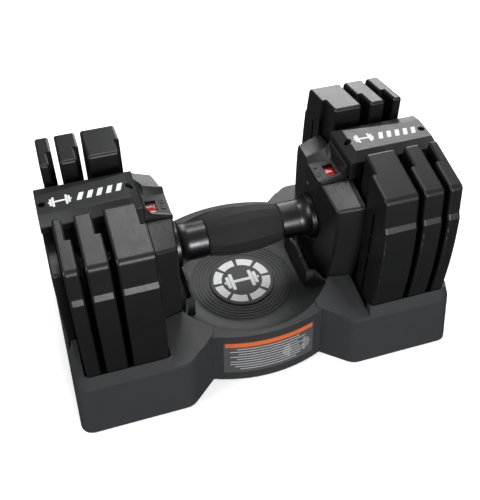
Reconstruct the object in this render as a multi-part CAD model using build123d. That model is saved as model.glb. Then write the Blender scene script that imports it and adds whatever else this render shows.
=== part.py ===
from build123d import *
from math import cos, radians, sin
import os

# Adjustable dumbbell docked in its tray, in millimetres.
# +X runs along the handle, +Y to the back, +Z up. The origin is the middle of the tray on the floor.
# Each head mirrors the other, so a head is modelled on the +X side and mirrored.

# ---------------------------------------------------------------- driving sizes
# Along the handle, from the middle outwards
grip_length = 63.4
handle_gap = 121.6
housing_depth = 21.5
housing_rim = 3.7
housing_gap = 3.3
plate_depths = {"thick": 27.8, "medium": 16.6, "thin": 10.8}
plate_gap = 4.4
recess_depth = 3.8
end_gap = 1.4
end_cap_depth = 7.2

# Heights above the floor
axis_height = 97.5
foot_height = 1.5
crease_height = 51.6
ledge_height = 55.7
rim_height = 63.6
deck_height = 34.0
well_floor = 10.0
plate_top = 179.4

# Tray outline at the floor: margins beyond the plate wells, and the waist between the two ends
tray_end_margin = 11.5
tray_side_margin = 8.1
tray_shoulder_inset = 11.7
waist_inset = 35.4
waist_half_width = 72.6
waist_belly = 9.4
tray_end_draft = 4.2
tray_side_draft = 4.4
waist_draft = 2.4
shoulder_draft = 1.5
end_rounding = 10.0
shoulder_rounding = 14.0
bowl_radius = 75.0
deck_radius = 47.0
badge_radius = 29.0
wall = 3.0

# Plates
slot_half_width = 29.8
slot_foot_radius = 14.0
recess_half_width = 51.0
recess_bottom = 41.0
plate_side = 84.0
plate_bulge = 2.2
plate_slope = 0.185
knee_inset = 6.0
plate_edge_round = 2.0
plate_wall = 3.2
recess_edge = 1.3
core_depths = {"thick": 8.0, "medium": 3.6, "thin": 3.8}

# Heads
face_half_width = 13.0
band_slope = 0.1156
face_edge = 1.2
housing_wall = 2.7
shoulder_height = 144.6
bezel_floor_height = 144.2
window_length = 8.4
window_width = 13.8
window_offset = -1.6
cover_face_height = 170.0
cover_drop = 2.8
cover_half_width = 22.1

# Handle and selector
shaft_radius = 6.0
tube_radius = 12.5
tube_wall = 2.5
grip_end_radius = 15.6
grip_middle_radius = 19.6
collar_radius = 15.8
flare_radius = 20.0
dial_radius = 44.2
dial_width = 8.9
lock_wheel_radius = 21.0
lock_travel = 5.5
selector_radius = 34.0
flange_thickness = 4.0
web_thickness = 2.0
lug_height = 3.2
lug_half_angle = 22.0
segment_half_angle = 15.0
# Rotor angles whose flange carries each plate, with a step of 45 degrees of handle turn for each setting
selector_arcs = {"thick": [(90, 180)], "medium": [(90, 90)], "thin": [(90, 135), (225, 225)]}

# Clearances
running = 0.05
seam = 0.3
easy = 0.5
rest_gap = 0.2

# ---------------------------------------------------------------- stations worked out from them
housing_in = handle_gap / 2
housing_web = housing_in + housing_depth
housing_out = housing_web + housing_rim
housing_split = housing_web - housing_wall
plate_start = {}
station = housing_web + housing_gap
for size, depth in plate_depths.items():
    plate_start[size] = station
    station += depth + plate_gap
plates_end = station - plate_gap
cap_in = plates_end + end_gap
cap_out = cap_in + end_cap_depth
well_in = housing_web + 0.9
well_out = plates_end + 1.9
well_half_width = plate_side + 1.3
tray_half_length = well_out + tray_end_margin
tray_half_width = well_half_width + tray_side_margin
tray_shoulder = well_in - tray_shoulder_inset
waist_half_length = well_in - waist_inset
tray_base = foot_height
pocket_floor = 38.0
housing_bottom = 47.0


# ---------------------------------------------------------------- helpers
def across(outline, start, end):
    """Solid with a Y-Z outline, between two stations along the handle."""
    return extrude(Plane.YZ.offset(start) * outline, amount=end - start)


def block(x, y, z):
    """Box from three (low, high) pairs."""
    size = [high - low for low, high in (x, y, z)]
    middle = [(high + low) / 2 for low, high in (x, y, z)]
    return Pos(*middle) * Box(*size)


def rod(radius, start, end, y=0.0, z=axis_height):
    """Cylinder along the handle."""
    return across(Pos(y, z) * Circle(radius), start, end)


def ring(outer, inner, start, end, y=0.0, z=axis_height):
    """Ring along the handle."""
    return across(Pos(y, z) * (Circle(outer) - Circle(inner)), start, end)


def both_sides(half):
    """A flat half outline joined to its mirror image."""
    return half + mirror(half, about=Plane.YZ)


def sector(outer, inner, middle_angle, half_angle):
    """Flat ring segment about the shaft, with angles from +Y towards +Z."""
    reach = outer * 2
    corners = [(0, 0)]
    for step in (-1, -0.5, 0, 0.5, 1):
        angle = radians(middle_angle + step * half_angle)
        corners.append((reach * cos(angle), reach * sin(angle)))
    wedge = make_face(Polyline(*corners, close=True))
    return Pos(0, axis_height) * ((Circle(outer) - Circle(inner)) & wedge)


def save(name, shape):
    export_step(shape, f"parts/{name}.step")


def save_pair(name, shape):
    """The right-hand piece and its mirror image on the left."""
    save(f"{name}_right", shape)
    save(f"{name}_left", mirror(shape, about=Plane.YZ))


def save_group(name, shapes):
    """Like pieces of both heads in one node, as separate solids."""
    save(name, Compound(children=[solid for shape in shapes for solid in shape.solids()]))


def mirrored(shape):
    return [shape, mirror(shape, about=Plane.YZ)]


# ---------------------------------------------------------------- plates
plate_bottom = well_floor + easy
knee = (plate_side - knee_inset, plate_top - plate_slope * (plate_side - knee_inset - slot_half_width))
strip_height = 143.2
strip_top = (plate_side - 2.4, strip_height + 4.2)


def plate_outline():
    lift = plate_slope * slot_half_width
    down_to_strip = Polyline((0, plate_top + lift), knee, strip_top, (plate_side, strip_height))
    middle = (strip_height + rim_height) / 2
    lower = (plate_side + 0.8, rim_height)
    bulge = ThreePointArc((plate_side, strip_height), (plate_side + 0.4 + plate_bulge, middle), lower)
    under = Polyline(lower, (plate_side - 1, 24), (plate_side - 13, plate_bottom), (0, plate_bottom))
    spine = Line((0, plate_bottom), (0, plate_top + lift))
    outline = both_sides(make_face(Curve() + [down_to_strip, bulge, under, spine]))
    outline = fillet(corners_at(outline, *knee), 5.0)
    outline = fillet(corners_at(outline, *strip_top) + corners_at(outline, plate_side, strip_height), 1.2)
    heel = corners_at(outline, plate_side - 1, 24) + corners_at(outline, plate_side - 13, plate_bottom)
    outline = fillet(heel, 6.0)
    outline -= slot_outline()
    tips = [v for v in outline.vertices() if v.Y > plate_top - 1]
    return fillet(tips, 2.5)


def corners_at(outline, across_y, height):
    """The two corners of a symmetric outline at a distance from its middle and a height."""
    return [v for v in outline.vertices() if abs(abs(v.X) - across_y) < 0.1 and abs(v.Y - height) < 0.1]


def slot_outline(extra=0.0):
    """Slot that is open at the top and rounds under the shaft."""
    shoulder = axis_height + 27
    waist = axis_height + 8
    wide = slot_half_width + extra
    foot = slot_foot_radius + extra
    top = plate_top + 30
    half = make_face(
        Polyline(
            (0, top), (wide, top), (wide, shoulder), (foot, waist), (foot, axis_height), (0, axis_height),
            close=True
        )
    )
    return both_sides(half) + Pos(0, axis_height) * Circle(foot)


def plate(size):
    start = plate_start[size]
    end = start + plate_depths[size]
    face = start + recess_depth
    body = across(plate_outline(), start, end)
    rims = body.faces().filter_by(Axis.X).edges()
    body = fillet(rims, plate_edge_round)
    recess_top = plate_top + 20
    recess = RectangleRounded(2 * recess_half_width, recess_top - recess_bottom, 14)
    body -= across(Pos(0, (recess_top + recess_bottom) / 2) * recess, start - 1, face)
    brows = [
        edge for edge in body.edges().filter_by(GeomType.LINE)
        if abs(edge.center().X - face) < 0.01 and edge.center().Z > knee[1] and edge.length > 12
    ]
    body = chamfer(brows, recess_edge)
    lug_outer = selector_radius - flange_thickness - 2
    lug_inner = selector_radius - 2.5 * flange_thickness
    lug = sector(lug_outer, lug_inner, 270, lug_half_angle)
    body += across(lug, face - lug_height, face + 1)
    if size == "thick":
        body -= index_slots(start)
    body -= chevrons(face)
    core_in, core_out = core_span(size)
    return body - across(core_outline(running), core_in - running, core_out + running)


def core_span(size):
    face = plate_start[size] + recess_depth
    end = plate_start[size] + plate_depths[size]
    middle = (face + end) / 2
    return middle - core_depths[size] / 2, middle + core_depths[size] / 2


def core_outline(extra=0.0):
    """Steel U that follows the shell, a wall inside it."""
    side = plate_side - plate_wall - 2 + extra
    low = plate_bottom + plate_wall + 3 - extra
    top_in = plate_top - plate_wall - 2 + extra
    top_out = knee[1] - plate_wall - 3 + extra
    half = make_face(
        Polyline(
            (0, top_in), (slot_half_width, top_in), (knee[0] - plate_wall - 1 + extra, top_out),
            (side - 3, strip_height), (side, 110), (side - 2, 40), (side - 16, low), (0, low), close=True
        )
    )
    return both_sides(half) - slot_outline(plate_wall + 1 - extra)


def index_slots(start):
    """Row of short upright slots near the edge of the plate's inner face."""
    slot_y = 64.0
    half_slot, depth = 1.4, 2.2
    low, high, count, bridge = 58.0, 147.0, 4, 1.8
    pitch = (high - low) / count
    cuts = Part()
    for side in (-1, 1):
        across_slot = (side * slot_y - half_slot, side * slot_y + half_slot)
        for index in range(count):
            bottom = low + index * pitch
            span = (bottom + bridge / 2, bottom + pitch - bridge / 2)
            cuts += block((start - 1, start + depth), across_slot, span)
        cuts += rod(half_slot, start - 1, start + depth, side * slot_y, high - bridge / 2)
    return cuts


def chevrons(face):
    """Shallow arrow mark on each lobe, pointing to the edge."""
    mark = Sketch()
    for side in (-1, 1):
        tip = (side * 44.0, 151.0)
        for drop in (-9.0, 9.0):
            end = (side * 38.0, tip[1] + drop)
            stroke = side * 1.1
            inner = [(end[0] - stroke, end[1]), (tip[0] - stroke, tip[1])]
            mark += make_face(Polyline(tip, end, *inner, close=True))
    return across(mark, face - 1, face + 0.4)


# ---------------------------------------------------------------- head housings
def head_section(x):
    """Outline of a head's block at a station along the handle: it flares towards the plates."""
    flare = (x - housing_in) / housing_depth
    top = (18.3 + 2.2 * flare, shoulder_height + 2.3 * flare)
    block_knee = (44.0 + 5.5 * flare, 137.4 + 4.4 * flare)
    middle = (44.9 + 5.6 * flare, 108.0)
    low = (38.0 + 5.2 * flare, 57.0)
    foot = (28.0 + 5.0 * flare, housing_bottom)
    half = make_face(
        Curve()
        + [
            Polyline((0, top[1]), top, block_knee),
            ThreePointArc(block_knee, middle, low),
            Polyline(low, foot, (0, housing_bottom), (0, top[1])),
        ]
    )
    outline = both_sides(half)
    return Plane.YZ.offset(x) * fillet(corners_at(outline, *block_knee) + corners_at(outline, *low), 3.0)


def head_block():
    """Outer shape of the housing: flat face, a sloped band each side of it, flaring sides."""
    body = loft([head_section(housing_in).face(), head_section(housing_web).face()], ruled=True)
    body += across(head_outline_flat(0.0), housing_web, housing_out)
    far = 70.0
    depth = band_slope * (far - face_half_width)
    for side in (-1, 1):
        wedge = make_face(
            Polyline(
                (housing_in, side * face_half_width), (housing_in - 2, side * face_half_width),
                (housing_in - 2, side * far), (housing_in + depth, side * far), close=True
            )
        )
        body -= extrude(wedge, amount=200)
    rims = [
        edge for edge in body.edges()
        if edge.center().Z > housing_bottom + 1 and edge.length > 3
        and all(on_band(corner) for corner in edge.vertices())
    ]
    return chamfer(rims, face_edge)


def on_band(corner):
    """Whether a corner of the head lies on one of its sloped bands."""
    out = abs(corner.Y) - face_half_width
    return out > 0.1 and abs(corner.X - housing_in - band_slope * out) < 0.05


dial_end = housing_split - 0.7
dial_start = dial_end - dial_width
lock_start = housing_in + 4.9
lock_end = lock_start + 2.8
cavity_radius = dial_radius + easy
cavity_start = lock_start + 1.7
pocket_start = housing_in + 4.4
bushing_radius = 10.0
bezel_base = shoulder_height - 1.7
bezel_half_width = 17.6
keyhole_depth = 2.4
keyhole_radius = 23.5
keyhole_half_width = 13.4
spring_radius = 1.6
spring_top = 138.6
slider_half_width = 28.0
slider_top = axis_height + 33.0
slider_foot = axis_height - 27.0
leg_half_width = 4.0
leg_bottom = housing_bottom - 0.4
window_middle = housing_in + 13.4
screw_places = [(37.5, axis_height + 31.0), (32.5, axis_height - 37.0)]


def keyhole_outline(extra=0.0):
    """Panel round the collar with a tongue up to the window."""
    wide = keyhole_half_width + extra
    tongue = make_face(
        Polyline((-wide, axis_height), (wide, axis_height), (wide, 160), (-wide, 160), close=True)
    )
    return tongue + Pos(0, axis_height) * Circle(keyhole_radius + extra)


def housing_inner():
    body = head_block()
    body -= block((housing_split, cap_out), (-80, 80), (0, 200))
    body -= rod(cavity_radius, cavity_start, housing_split + 1)
    low = slider_foot - lock_travel - 1.0
    slider = slider_half_width + easy
    body -= block((pocket_start, cavity_start + 1), (-slider, slider), (low, slider_top + easy))
    leg = leg_half_width + easy
    body -= block((pocket_start, lock_end + easy), (-leg, leg), (housing_bottom - 1, low + 1))
    spring = spring_radius + easy
    body -= block((pocket_start, lock_end + easy), (-spring, spring), (slider_top, spring_top))
    body -= rod(bushing_radius + running, housing_in - 1, pocket_start + 1)
    body -= across(keyhole_outline(seam), housing_in - 1, housing_in + keyhole_depth + running)
    wide = bezel_half_width + seam
    body -= block((housing_in - 1, housing_out + 1), (-wide, wide), (bezel_base, 200))
    body -= block((window_middle - 5.2, window_middle + 5.2), (-10, 10), (axis_height, 150))
    for y, z in screw_places:
        for side in (-1, 1):
            body -= rod(1.55, housing_split - 9, housing_split + 1, side * y, z)
    body -= rod(1.05, housing_in, housing_in + keyhole_depth + 1.9, bezel_screw[0], bezel_screw[1])
    return body


def housing_outer():
    body = head_block() & block((housing_split, housing_out), (-80, 80), (0, 200))
    body -= rod(shaft_radius + easy, housing_split - 1, housing_out + 1)
    body -= rod(selector_radius + 1.5, housing_web, housing_out + 1)
    wide = bezel_half_width + seam
    body -= block((housing_in - 1, housing_out + 1), (-wide, wide), (bezel_base, 200))
    for y, z in screw_places:
        for side in (-1, 1):
            body -= rod(1.6, housing_split - 1, housing_out + 1, side * y, z)
            body -= rod(3.0, housing_web - 1.4, housing_out + 1, side * y, z)
    return body


# ---------------------------------------------------------------- window bezel
fin_apex_height = 159.6
fin_thickness = 1.5
floor_rise = 1.8
bezel_back = housing_web
bezel_screw = (9.8, axis_height + 27.5)
pin_hole = (-9.2, axis_height + 27.0)
# Top edge of a fin and half width of the floor between the fins, from the handle side to the back wall
fin_line = [(housing_in, 147.0, 11.8), (housing_in + 16.2, 152.8, 10.6), (bezel_back, fin_apex_height, 10.1)]


def bezel_floor(x):
    return bezel_floor_height + floor_rise * (x - housing_in) / housing_depth


def between_fins():
    """Space over the floor, between the leaning inner faces of the fins."""
    sections = []
    reach = bezel_half_width - fin_thickness
    x, top, foot = fin_line[0]
    for x, top, foot in [(x - 1, top, foot)] + fin_line:
        outline = Polyline(
            (-foot, bezel_floor(x)), (foot, bezel_floor(x)), (reach, top),
            (reach, 190), (-reach, 190), (-reach, top), close=True
        )
        sections.append((Plane.YZ.offset(x) * make_face(outline)).face())
    return loft(sections, ruled=True) & block((0, bezel_back - fin_thickness), (-60, 60), (0, 200))


def window_bezel():
    """Panel with the window, a rising fin on each side of it, a back wall and a tongue down to the collar."""
    base = bezel_base + running
    half = bezel_half_width
    ledge = bezel_floor(bezel_back) - 0.5
    crest = [(x, top) for x, top, foot in fin_line]
    profile = Polyline(
        (housing_in, base), *crest, (bezel_back, ledge), (housing_out, ledge), (housing_out, base), close=True
    )
    body = extrude(Plane.XZ * make_face(profile), amount=half, both=True)
    body -= between_fins()
    tongue = head_block() & across(keyhole_outline(), housing_in - 1, housing_in + keyhole_depth)
    tongue -= block((0, 200), (-60, 60), (bezel_base + 0.5, 200))
    body += tongue
    body -= rod(bushing_radius + running, housing_in - 1, housing_in + keyhole_depth + 1)
    body -= block(
        (window_middle - window_length / 2, window_middle + window_length / 2),
        (window_offset - window_width / 2, window_offset + window_width / 2),
        (bezel_base - 1, bezel_floor(bezel_back) + 1),
    )
    body -= rod(1.1, housing_in - 1, housing_in + keyhole_depth + 1, *bezel_screw)
    body -= rod(2.3, housing_in - 1, housing_in + 1.0, *bezel_screw)
    body -= rod(0.8, housing_in - 1, housing_in + 1.6, *pin_hole)
    return body


# ---------------------------------------------------------------- bridge, cover and end cap
beam_half_width = 20.3
beam_bottom = 137.0
beam_top = 159.4
cover_bottom = beam_top + running
cover_in = housing_web + 1.0
cover_face_start = housing_in + 29.2
cover_screws_x = (housing_in + 28.0, cap_out - 4.2)
counterbore_floor = 162.6
cheek_length = 9.0
cheek_bottom = 149.0


def bridge_beam():
    """Channel over the selector discs that ties the housing to the end cap."""
    step = head_top + rest_gap
    width = (-beam_half_width, beam_half_width)
    lower = block((housing_out + running, cap_in - running), width, (beam_bottom, step))
    upper = block((cover_in + 2.2, cap_out - 0.6), width, (step, beam_top))
    body = lower + upper
    inner = beam_half_width - wall
    body -= block((housing_out + 6, cap_in - wall), (-inner, inner), (beam_bottom - 1, beam_top - wall))
    for x in cover_screws_x:
        body += Pos(x, 0, (beam_top + step) / 2) * Cylinder(3.2, beam_top - step)
        body -= Pos(x, 0, beam_top) * Cylinder(1.55, 20)
    for y, z in cap_screw_places:
        for side in (-1, 1):
            body -= rod(1.55, cap_in - wall - 1, cap_in, side * y, z)
    groove = 0.8
    for side in (-1, 1):
        edge = side * beam_half_width
        body -= block((0, 200), sorted((edge, edge - side * groove)), (beam_top - 5.4, beam_top - 4.2))
    return body


head_top = shoulder_height + 2.3


def cover_section(x, face_half, face_height):
    """Flat top, a bevel each side, upright flanks."""
    edge_height = 164.6
    points = [
        (-cover_half_width, cover_bottom), (-cover_half_width, edge_height), (-face_half, face_height),
        (face_half, face_height), (cover_half_width, edge_height), (cover_half_width, cover_bottom),
    ]
    return (Plane.YZ.offset(x) * make_face(Polyline(*points, close=True))).face()


def top_cover():
    body = loft(
        [
            cover_section(cover_in, 14.4, cover_face_height + 0.2),
            cover_section(cap_out, 10.7, cover_face_height - cover_drop),
        ],
        ruled=True,
    )
    long_edges = [edge for edge in body.edges() if edge.length > housing_depth * 2]
    ridges = [edge for edge in long_edges if edge.center().Z > cover_bottom + 4]
    body = fillet(ridges, 0.8)
    facet_low = 164.2
    above = make_face(
        Polyline(
            (cover_in - 5, facet_low - 4), (cover_in, facet_low), (cover_face_start, cover_face_height + 0.2),
            (cover_face_start, 200), (cover_in - 5, 200), close=True
        )
    )
    body -= extrude(Plane.XZ * above, amount=60, both=True)
    inner = cover_half_width - 2.0
    width = (-cover_half_width, cover_half_width)
    cheeks = block((cover_in, cover_in + cheek_length), width, (cheek_bottom, cover_bottom + 1))
    space = beam_half_width + running
    cheeks -= block((cover_in + 2.0, cover_in + 40), (-space, space), (0, cover_bottom + 0.01))
    body += cheeks
    hollow = (cover_screws_x[0] + 8, cover_screws_x[1] - 8)
    body -= block(hollow, (-inner + 4, inner - 4), (cover_bottom - 1, cover_bottom + 2.6))
    for x in cover_screws_x:
        body -= Pos(x, 0, 165) * Cylinder(1.6, 40)
        body -= Pos(x, 0, counterbore_floor + 10) * Cylinder(2.9, 20)
    return body


def end_cap():
    body = across(head_outline_flat(0.0), cap_in, cap_out)
    rims = body.faces().sort_by(Axis.X)[-1].edges()
    body = fillet(rims, 1.6)
    body -= across(head_outline_flat(2.6), cap_in - 1, cap_out - 2.6)
    body += rod(14.0, cap_in + 0.4, cap_out - 2)
    body -= rod(bushing_outer_radius + running, cap_in - 1, cap_out - 2.2)
    for y, z in cap_screw_places:
        for side in (-1, 1):
            body += rod(4.0, cap_in, cap_out - 2, side * y, z)
            body -= rod(1.6, cap_in - 1, cap_out + 1, side * y, z)
            body -= rod(3.0, cap_out - 1.6, cap_out + 1, side * y, z)
    return body


bushing_outer_radius = 9.0
cap_screw_places = [(14.0, 141.6)]


def head_outline_flat(inset):
    """Outline of the head's block at its plate side, laid flat, drawn in by an inset."""
    top = (20.5, head_top - inset)
    block_knee = (49.5 - inset, 141.8 - inset)
    middle = (50.5 - inset, 108.0)
    low = (43.2 - inset, 57.0)
    foot = (33.0, housing_bottom + inset)
    half = make_face(
        Curve()
        + [
            Polyline((0, top[1]), top, block_knee),
            ThreePointArc(block_knee, middle, low),
            Polyline(low, foot, (0, foot[1]), (0, top[1])),
        ]
    )
    outline = both_sides(half)
    return fillet(corners_at(outline, *block_knee) + corners_at(outline, *low), 3.0)


# ---------------------------------------------------------------- handle
def revolved(outline, angle=360):
    """Turned piece about the handle's axis, from an outline of (along, radius) points."""
    axis = Axis((0, 0, axis_height), (1, 0, 0))
    return revolve(Pos(0, 0, axis_height) * (Plane.XZ * outline), axis=axis, revolution_arc=angle)


tube_half = grip_length / 2 + 18.0
collar_start = grip_length / 2 + 0.2
collar_end = housing_in - 0.6
shaft_end = cap_out - 3.6
retainer_start = plates_end + 0.3
retainer_end = cap_in - 0.2


def grip_sleeve():
    half = grip_length / 2
    bore = tube_radius + running
    ends = grip_end_radius
    barrel = ThreePointArc((-half, ends), (0, grip_middle_radius), (half, ends))
    rest = Polyline((half, ends), (half, bore), (-half, bore), (-half, ends))
    return revolved(make_face(Curve() + [barrel, rest]))


def handle_tube():
    return ring(tube_radius, tube_radius - tube_wall, -tube_half, tube_half)


def collar():
    """Metal cup over the tube's end that flares towards the housing."""
    flare_start = housing_in - 14.5
    flare_end = housing_in - 5.0
    groove = housing_in - 3.2
    sweep = ThreePointArc(
        (flare_start, collar_radius),
        (flare_start + 0.62 * (flare_end - flare_start), collar_radius + 1.1),
        (flare_end, flare_radius - 0.4),
    )
    lip = (collar_start, collar_radius - 0.6)
    front = Polyline(lip, (collar_start + 0.6, collar_radius), (flare_start, collar_radius))
    bore = shaft_radius + running
    seat = tube_radius + running
    back = Polyline(
        (flare_end, flare_radius - 0.4), (flare_end + 0.8, flare_radius),
        (groove, flare_radius), (groove, flare_radius - 0.8), (groove + 0.7, flare_radius - 0.8),
        (groove + 0.7, flare_radius), (collar_end, flare_radius), (collar_end, bore),
        (tube_half + running, bore), (tube_half + running, seat), (collar_start, seat), lip,
    )
    return revolved(make_face(Curve() + [front, sweep, back]))


def selector_shaft():
    """Steel bar through both heads, with a groove near each end for its retaining ring."""
    body = rod(shaft_radius, -shaft_end, shaft_end)
    for side in (-1, 1):
        groove = sorted((side * retainer_start, side * retainer_end))
        body -= ring(shaft_radius + 1, shaft_radius - 0.7, *groove)
    return chamfer(body.edges().filter_by(GeomType.CIRCLE).group_by(Axis.X)[0], 0.8)


def shaft_retainer():
    inner = shaft_radius - 0.7 + running
    return ring(shaft_radius + 3, inner, retainer_start + running, retainer_end - running)


def dial_ring():
    """Drum with the weight numbers on its rim, under the window."""
    rim = ring(dial_radius, dial_radius - 2.6, dial_start, dial_end)
    web = ring(dial_radius - 2, shaft_radius + running, dial_end - web_thickness, dial_end)
    hub = ring(12, shaft_radius + running, dial_start + 3, dial_end)
    return rim + web + hub


def lock_wheel():
    """Wheel with a notch for every 45 degrees."""
    body = ring(lock_wheel_radius, shaft_radius + running, lock_start, lock_end)
    notch_depth, notch_width = 5.5, 5.0
    notch = Pos(0, lock_wheel_radius) * Rectangle(notch_width, 2 * notch_depth)
    for index in range(8):
        body -= across(Pos(0, axis_height) * (Rot(0, 0, 45 * index) * notch), lock_start - 1, lock_end + 1)
    return body


def selector(size):
    """Disc whose flange passes under the plate's lug at the settings that carry that plate."""
    face = plate_start[size] + recess_depth
    start = plate_backs[size] + 0.9
    end = face - 0.7
    body = ring(selector_radius, shaft_radius + running, start, start + web_thickness)
    body += ring(12, shaft_radius + running, start, end)
    for first, last in selector_arcs[size]:
        middle = (first + last) / 2
        half = (last - first) / 2 + segment_half_angle
        arc = sector(selector_radius, selector_radius - flange_thickness, middle, half)
        body += across(arc, start + web_thickness / 2, end)
    return body


plate_backs = {
    "thick": housing_web,
    "medium": plate_start["thick"] + plate_depths["thick"],
    "thin": plate_start["medium"] + plate_depths["medium"],
}


# ---------------------------------------------------------------- lock slider, spring, bushings, screws
def lock_slider():
    """Frame round the lock wheel: its top tooth drops into a notch when the leg is off the tray's post."""
    start, end = lock_start - 0.3, lock_end + 0.2
    opening = lock_wheel_radius + 1.2
    body = block((start, end), (-slider_half_width, slider_half_width), (slider_foot, slider_top))
    opening_top = axis_height + opening + lock_travel + 0.6
    body -= block((start - 1, end + 1), (-opening, opening), (axis_height - opening, opening_top))
    body += block((start, end), (-1.9, 1.9), (axis_height + lock_wheel_radius + 0.8, slider_top))
    body += block((start, end), (-leg_half_width, leg_half_width), (leg_bottom, slider_foot + 1))
    corner = 8.0
    for side in (-1, 1):
        for z in (slider_foot, slider_top):
            y = side * slider_half_width
            body -= Pos((start + end) / 2, y, z) * Rot(45, 0, 0) * Box(10, corner, corner)
    return body


def lock_spring():
    """Helical spring between the slider and the housing."""
    turns, wire = 4, 0.35
    bottom, top = slider_top + running, spring_top - running
    length = top - bottom - 2 * wire
    middle = (lock_start + lock_end) / 2
    coil = Helix(pitch=length / turns, height=length, radius=spring_radius - wire)
    start = coil @ 0
    section = Plane(origin=start, z_dir=coil % 0) * Circle(wire)
    return Pos(middle, 0, bottom + wire) * sweep(section, path=coil)


def bushing_inner():
    return ring(bushing_radius, shaft_radius + running, housing_in + 0.2, pocket_start - 0.05)


def bushing_outer():
    return ring(bushing_outer_radius, shaft_radius + running, cap_in + 0.4, cap_out - 2.4)


def screw(head_radius, head_height, shank_radius, length):
    """Screw with its head's top at the origin, pointing down, with a hexagon socket."""
    body = Pos(0, 0, -head_height / 2) * Cylinder(head_radius, head_height)
    body = fillet(body.edges().group_by(Axis.Z)[-1], 0.4)
    body += Pos(0, 0, -(head_height + length) / 2 - head_height / 4) * Cylinder(shank_radius, length)
    body -= extrude(RegularPolygon(head_radius * 0.5, 6), amount=-head_height * 0.6)
    return body


def cover_screws():
    return [Pos(x, 0, counterbore_floor + 2.0) * screw(2.6, 2.0, 1.5, 9.0) for x in cover_screws_x]


def side_screws(places, x, head_height):
    """Screws that point inwards along the handle from a station."""
    pieces = []
    for y, z in places:
        for side in (-1, 1):
            pieces.append(Pos(x, side * y, z) * Rot(0, 90, 0) * screw(2.8, head_height, 1.45, 9.0))
    return pieces


def housing_screws():
    bezel = Pos(housing_in + 0.05, *bezel_screw) * Rot(0, -90, 0) * screw(2.1, 0.9, 1.0, 3.4)
    return side_screws(screw_places, housing_web - 0.1, 1.3) + [bezel]


def end_cap_screws():
    return side_screws(cap_screw_places, cap_out - 0.2, 1.4)


# ---------------------------------------------------------------- tray
def tray_outline(length, width, waist_width, shoulder, belly):
    """Tray outline: two wide ends, diagonal walls to a waist whose walls bulge outwards."""
    corner = (length, width)
    half_front = make_face(
        Curve()
        + [
            Polyline((0, 0), (length, 0), corner, (shoulder, width), (waist_half_length, waist_width)),
            ThreePointArc(
                (waist_half_length, waist_width), (waist_half_length / 2, waist_width + 0.755 * belly),
                (0, waist_width + belly)
            ),
            Line((0, waist_width + belly), (0, 0)),
        ]
    )
    front = half_front + mirror(half_front, about=Plane.YZ)
    outline = front + mirror(front, about=Plane.XZ)
    return outline


def outline_at(height):
    """Outline of the drafted outer walls at a height."""
    up = (height - tray_base) / (crease_height - tray_base)
    outline = tray_outline(
        tray_half_length - tray_end_draft * up, tray_half_width - tray_side_draft * up,
        waist_half_width - waist_draft * up, tray_shoulder - shoulder_draft * up, waist_belly
    )
    corners = [v for v in outline.vertices() if abs(v.X) > well_in and abs(v.Y) > waist_half_width]
    outline = fillet(corners, end_rounding)
    return Plane.XY.offset(height) * fillet(tray_shoulders(outline), shoulder_rounding)


def tray_shoulders(outline):
    """Corners where the diagonal walls meet the sides of the ends."""
    return [v for v in outline.vertices() if waist_half_length + 5 < abs(v.X) < well_in and abs(v.Y) > 1]


def rim_outline(height, inward):
    """Outline of an end's rim band, drawn in from the crease."""
    length = tray_half_length - tray_end_draft - inward
    width = tray_half_width - tray_side_draft - inward
    waist = waist_half_width - waist_draft - 0.3 * inward
    start = waist_half_length - 2.8
    half = make_face(
        Polyline(
            (start, 0), (length, 0), (length, width), (tray_shoulder - shoulder_draft + 0.2 * inward, width),
            (waist_half_length, waist), (start, waist - 3), close=True
        )
    )
    outline = half + mirror(half, about=Plane.XZ)
    corners = [v for v in outline.vertices() if v.X > well_in and abs(v.Y) > 1]
    outline = fillet(corners, end_rounding - 0.5 * inward)
    return Plane.XY.offset(height) * fillet(tray_shoulders(outline), shoulder_rounding)


cradle_height = 58.0
cradle_half_width = 41.0
cradle_wall = 2.3
cradle_in = housing_in - 10.8
tab_half_width = 9.0
tab_rise = 3.0


def shoulder_slope():
    """Everything above the sloping shoulders and the cradle, over the inner part of one end."""
    high, low = 61.0, 53.5
    back = cradle_half_width - 2
    front = tray_half_width
    cut = make_face(Polyline((-1, 100), (-1, high), (back, high), (front, low), (front, 100), close=True))
    both = cut + mirror(cut, about=Plane.YZ)
    return across(both, 0, well_in)


def bowl():
    """Round dished recess with a flat deck at its middle."""
    dish = make_face(
        Curve()
        + [
            Line((0, deck_height), (deck_radius, deck_height)),
            ThreePointArc(
                (deck_radius, deck_height), (deck_radius + 17, deck_height + 7.2), (bowl_radius, ledge_height)
            ),
            Polyline((bowl_radius, ledge_height), (bowl_radius + 4, 75), (0, 75), (0, deck_height)),
        ]
    )
    return revolve(Plane.XZ * dish, axis=Axis.Z)


def grooves():
    """Fine rings cut in the deck round the badge."""
    cuts = Part()
    for radius in (32.5, 35.5, 38.5, 41.5, 44.5):
        cut = Pos(0, 0, deck_height) * (Cylinder(radius + 0.35, 1.0) - Cylinder(radius - 0.35, 1.0))
        cuts += cut
    return cuts


def cradle():
    """Wall round the housing's foot, open on top, with a raised tab."""
    def plan(inset):
        half = make_face(
            Polyline(
                (cradle_in + inset, 0), (cradle_in + inset, 27 - 0.6 * inset),
                (cradle_in + 5.5 + inset, 29.5 - inset), (cradle_in + 11, cradle_half_width + 1.6 - inset),
                (well_in + 1, cradle_half_width + 6 - inset), (well_in + 1, 0), close=True
            )
        )
        return half + mirror(half, about=Plane.XZ)

    outer = extrude(Plane.XY.offset(deck_height) * plan(0), amount=cradle_height - deck_height)
    tab_width = (-tab_half_width, tab_half_width)
    tab_height = (cradle_height - 1, cradle_height + tab_rise)
    tab = block((cradle_in, cradle_in + cradle_wall), tab_width, tab_height)
    pocket = extrude(Plane.XY.offset(pocket_floor) * plan(cradle_wall), amount=60)
    return outer + tab, pocket


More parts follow.
